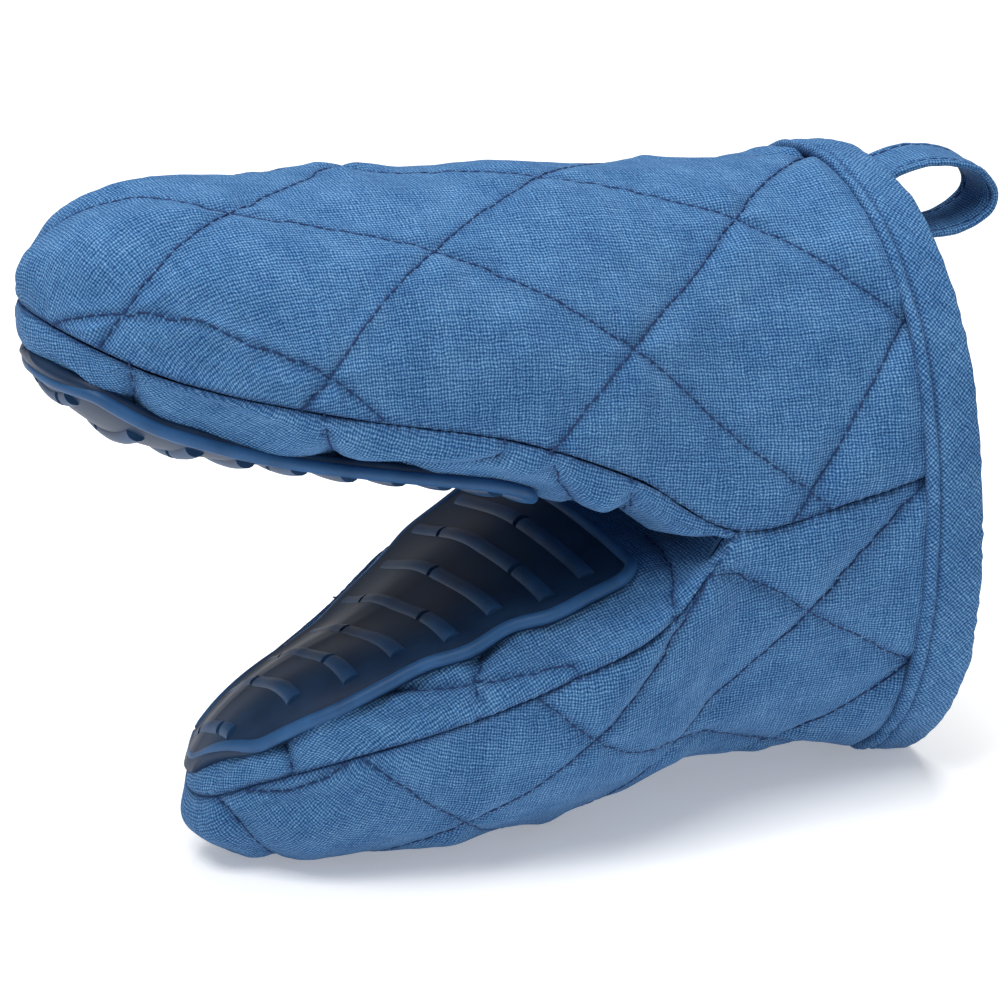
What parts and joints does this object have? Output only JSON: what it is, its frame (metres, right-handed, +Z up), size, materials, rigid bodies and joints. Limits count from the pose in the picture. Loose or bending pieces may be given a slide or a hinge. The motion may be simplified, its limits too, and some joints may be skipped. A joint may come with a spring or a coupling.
{
  "type": "oven mitt",
  "caption": "Mini oven mitt of quilted cotton with a finger pocket, a thumb pocket that closes towards it, silicone grips on both, a bound cuff and a hanging loop.",
  "frame": {"origin": "centre of the footprint's bounding box, on the table", "axes": "+X from the tips towards the cuff, +Z up from the table, Y across the hand; the mitt is symmetric about the XZ plane"},
  "size_m": [0.2074, 0.0912, 0.1432],
  "materials": {
    "cotton_cover": "plain-woven cotton canvas, quilted",
    "cotton_binding": "plain-woven cotton canvas, folded and topstitched",
    "cotton_lining": "plain cotton",
    "wadding": "soft polyester and cotton wadding",
    "silicone": "moulded silicone, satin"
  },
  "bodies": {
    "mitt": {"back_cover": "cotton_cover", "back_wadding": "wadding", "back_lining": "cotton_lining", "heel_cover": "cotton_cover", "heel_wadding": "wadding", "heel_lining": "cotton_lining", "finger_palm_cover": "cotton_cover", "finger_palm_wadding": "wadding", "finger_palm_lining": "cotton_lining", "finger_grip": "silicone", "under_fold_cover": "cotton_cover", "under_fold_wadding": "wadding", "under_fold_lining": "cotton_lining", "palm_fold_cover": "cotton_cover", "palm_fold_lining": "cotton_lining", "cuff_binding": "cotton_binding"},
    "thumb": {"thumb_cover": "cotton_cover", "thumb_wadding": "wadding", "thumb_lining": "cotton_lining", "thumb_palm_cover": "cotton_cover", "thumb_palm_wadding": "wadding", "thumb_palm_lining": "cotton_lining", "thumb_grip": "silicone"},
    "loop": {"hanging_loop": "cotton_binding"}
  },
  "joints": [
    {"name": "thumb_fold", "type": "hinge", "parent": "mitt", "child": "thumb", "pos_m": [0.02925, 0, 0.0685], "axis": [0, 1, 0], "range_deg": [-8, 14], "stiffness_Nm_per_rad": 0.6, "deforming": ["under_fold_cover", "under_fold_wadding", "under_fold_lining", "palm_fold_cover", "palm_fold_lining"]},
    {"name": "loop_swing", "type": "hinge", "parent": "mitt", "child": "loop", "pos_m": [0.06525, 0, 0.119], "axis": [0, 1, 0], "range_deg": [0, 60], "stiffness_Nm_per_rad": 0.01}
  ]
}
